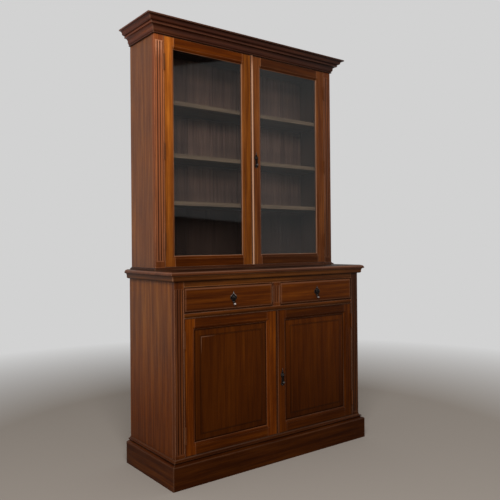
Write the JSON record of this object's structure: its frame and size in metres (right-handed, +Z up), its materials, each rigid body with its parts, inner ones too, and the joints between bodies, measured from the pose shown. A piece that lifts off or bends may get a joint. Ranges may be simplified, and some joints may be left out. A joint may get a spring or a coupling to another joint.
{
  "type": "glazed bookcase on cupboard base",
  "caption": "Tall two-part wooden bookcase: glazed upper case with shelves behind a pair of glass doors, on a deeper base with drawers and panelled cupboard doors.",
  "frame": {"origin": "on the floor, under the middle of the bounding box", "axes": "+Z up, front faces -Y, +X to the right seen from the front"},
  "size_m": [1.331, 0.49, 2.25],
  "materials": {
    "mahogany": "french-polished red-brown mahogany",
    "stained_interior": "dull dark stain on softwood",
    "clear_glass": "clear sheet glass",
    "black_iron": "blackened, with a little shine on worn edges",
    "old_brass": "dull aged brass"
  },
  "bodies": {
    "case": {"base_back_boards": "stained_interior", "base_bottom": "stained_interior", "base_pilaster_left": "mahogany", "base_pilaster_right": "mahogany", "base_side_left": "mahogany", "base_side_right": "mahogany", "base_top": "mahogany", "base_top_moulding": "mahogany", "base_top_rail": "mahogany", "case_hinge_leaves": "old_brass", "cornice": "mahogany", "cupboard_shelf": "stained_interior", "drawer_mullion": "mahogany", "drawer_rail": "mahogany", "drawer_runners": "stained_interior", "plinth": "mahogany", "shelf_bottom": "stained_interior", "shelf_cleats": "stained_interior", "shelf_middle": "stained_interior", "shelf_pegs": "old_brass", "shelf_top": "stained_interior", "upper_back_boards": "stained_interior", "upper_bottom": "mahogany", "upper_head_rail": "mahogany", "upper_pilaster_left": "mahogany", "upper_pilaster_right": "mahogany", "upper_side_left": "mahogany", "upper_side_right": "mahogany", "upper_top": "stained_interior"},
    "upper_left_door": {"upper_left_door_frame": "mahogany", "upper_left_glass": "clear_glass", "upper_left_glazing_beads": "mahogany", "upper_left_brassware": "old_brass"},
    "upper_right_door": {"upper_right_door_frame": "mahogany", "upper_right_glass": "clear_glass", "upper_right_glazing_beads": "mahogany", "upper_right_brassware": "old_brass", "upper_right_handle_plate": "black_iron"},
    "lower_left_door": {"lower_left_door_frame": "mahogany", "lower_left_panel": "mahogany", "lower_left_brassware": "old_brass"},
    "lower_right_door": {"lower_right_door_frame": "mahogany", "lower_right_panel": "mahogany", "lower_right_brassware": "old_brass", "lower_right_handle_plate": "black_iron"},
    "left_drawer": {"left_drawer_front": "mahogany", "left_drawer_box": "stained_interior", "left_drawer_handle_plate": "black_iron"},
    "right_drawer": {"right_drawer_front": "mahogany", "right_drawer_box": "stained_interior", "right_drawer_handle_plate": "black_iron"},
    "upper_left_top_bolt": {"upper_left_top_bolt": "old_brass"},
    "upper_left_bottom_bolt": {"upper_left_bottom_bolt": "old_brass"},
    "lower_left_bolt": {"lower_left_bolt": "old_brass"},
    "upper_right_lock_bolt": {"upper_right_lock_bolt": "old_brass"},
    "lower_right_lock_bolt": {"lower_right_lock_bolt": "old_brass"},
    "upper_right_drop": {"upper_right_drop": "black_iron"},
    "lower_right_drop": {"lower_right_drop": "black_iron"},
    "left_drawer_drop": {"left_drawer_drop": "black_iron"},
    "right_drawer_drop": {"right_drawer_drop": "black_iron"}
  },
  "joints": [
    {"name": "upper_left_door_hinge", "type": "hinge", "parent": "case", "child": "upper_left_door", "pos_m": [-0.54875, -0.021, 1.6], "axis": [0, 0, -1], "range_deg": [0, 170]},
    {"name": "upper_right_door_hinge", "type": "hinge", "parent": "case", "child": "upper_right_door", "pos_m": [0.54875, -0.021, 1.6], "axis": [0, 0, 1], "range_deg": [0, 170]},
    {"name": "lower_left_door_hinge", "type": "hinge", "parent": "case", "child": "lower_left_door", "pos_m": [-0.56125, -0.219, 0.46], "axis": [0, 0, -1], "range_deg": [0, 170]},
    {"name": "lower_right_door_hinge", "type": "hinge", "parent": "case", "child": "lower_right_door", "pos_m": [0.56125, -0.219, 0.46], "axis": [0, 0, 1], "range_deg": [0, 170]},
    {"name": "left_drawer_slide", "type": "slide", "parent": "case", "child": "left_drawer", "axis": [0, -1, 0], "range_m": [0, 0.3]},
    {"name": "right_drawer_slide", "type": "slide", "parent": "case", "child": "right_drawer", "axis": [0, -1, 0], "range_m": [0, 0.3]},
    {"name": "upper_left_top_bolt_slide", "type": "slide", "parent": "upper_left_door", "child": "upper_left_top_bolt", "axis": [0, 0, 1], "range_m": [0, 0.01]},
    {"name": "upper_left_bottom_bolt_slide", "type": "slide", "parent": "upper_left_door", "child": "upper_left_bottom_bolt", "axis": [0, 0, -1], "range_m": [0, 0.01]},
    {"name": "lower_left_bolt_slide", "type": "slide", "parent": "lower_left_door", "child": "lower_left_bolt", "axis": [0, 0, -1], "range_m": [0, 0.01]},
    {"name": "upper_right_lock_bolt_slide", "type": "slide", "parent": "upper_right_door", "child": "upper_right_lock_bolt", "axis": [-1, 0, 0], "range_m": [0, 0.007]},
    {"name": "lower_right_lock_bolt_slide", "type": "slide", "parent": "lower_right_door", "child": "lower_right_lock_bolt", "axis": [-1, 0, 0], "range_m": [0, 0.007]},
    {"name": "upper_right_drop_swing", "type": "hinge", "parent": "upper_right_door", "child": "upper_right_drop", "pos_m": [0.027, -0.029, 1.608], "axis": [-1, 0, 0], "range_deg": [0, 80]},
    {"name": "lower_right_drop_swing", "type": "hinge", "parent": "lower_right_door", "child": "lower_right_drop", "pos_m": [0.0355, -0.227, 0.44], "axis": [-1, 0, 0], "range_deg": [0, 80]},
    {"name": "left_drawer_drop_swing", "type": "hinge", "parent": "left_drawer", "child": "left_drawer_drop", "pos_m": [-0.277, -0.2267, 0.87], "axis": [-1, 0, 0], "range_deg": [0, 80]},
    {"name": "right_drawer_drop_swing", "type": "hinge", "parent": "right_drawer", "child": "right_drawer_drop", "pos_m": [0.291, -0.2267, 0.87], "axis": [-1, 0, 0], "range_deg": [0, 80]}
  ]
}
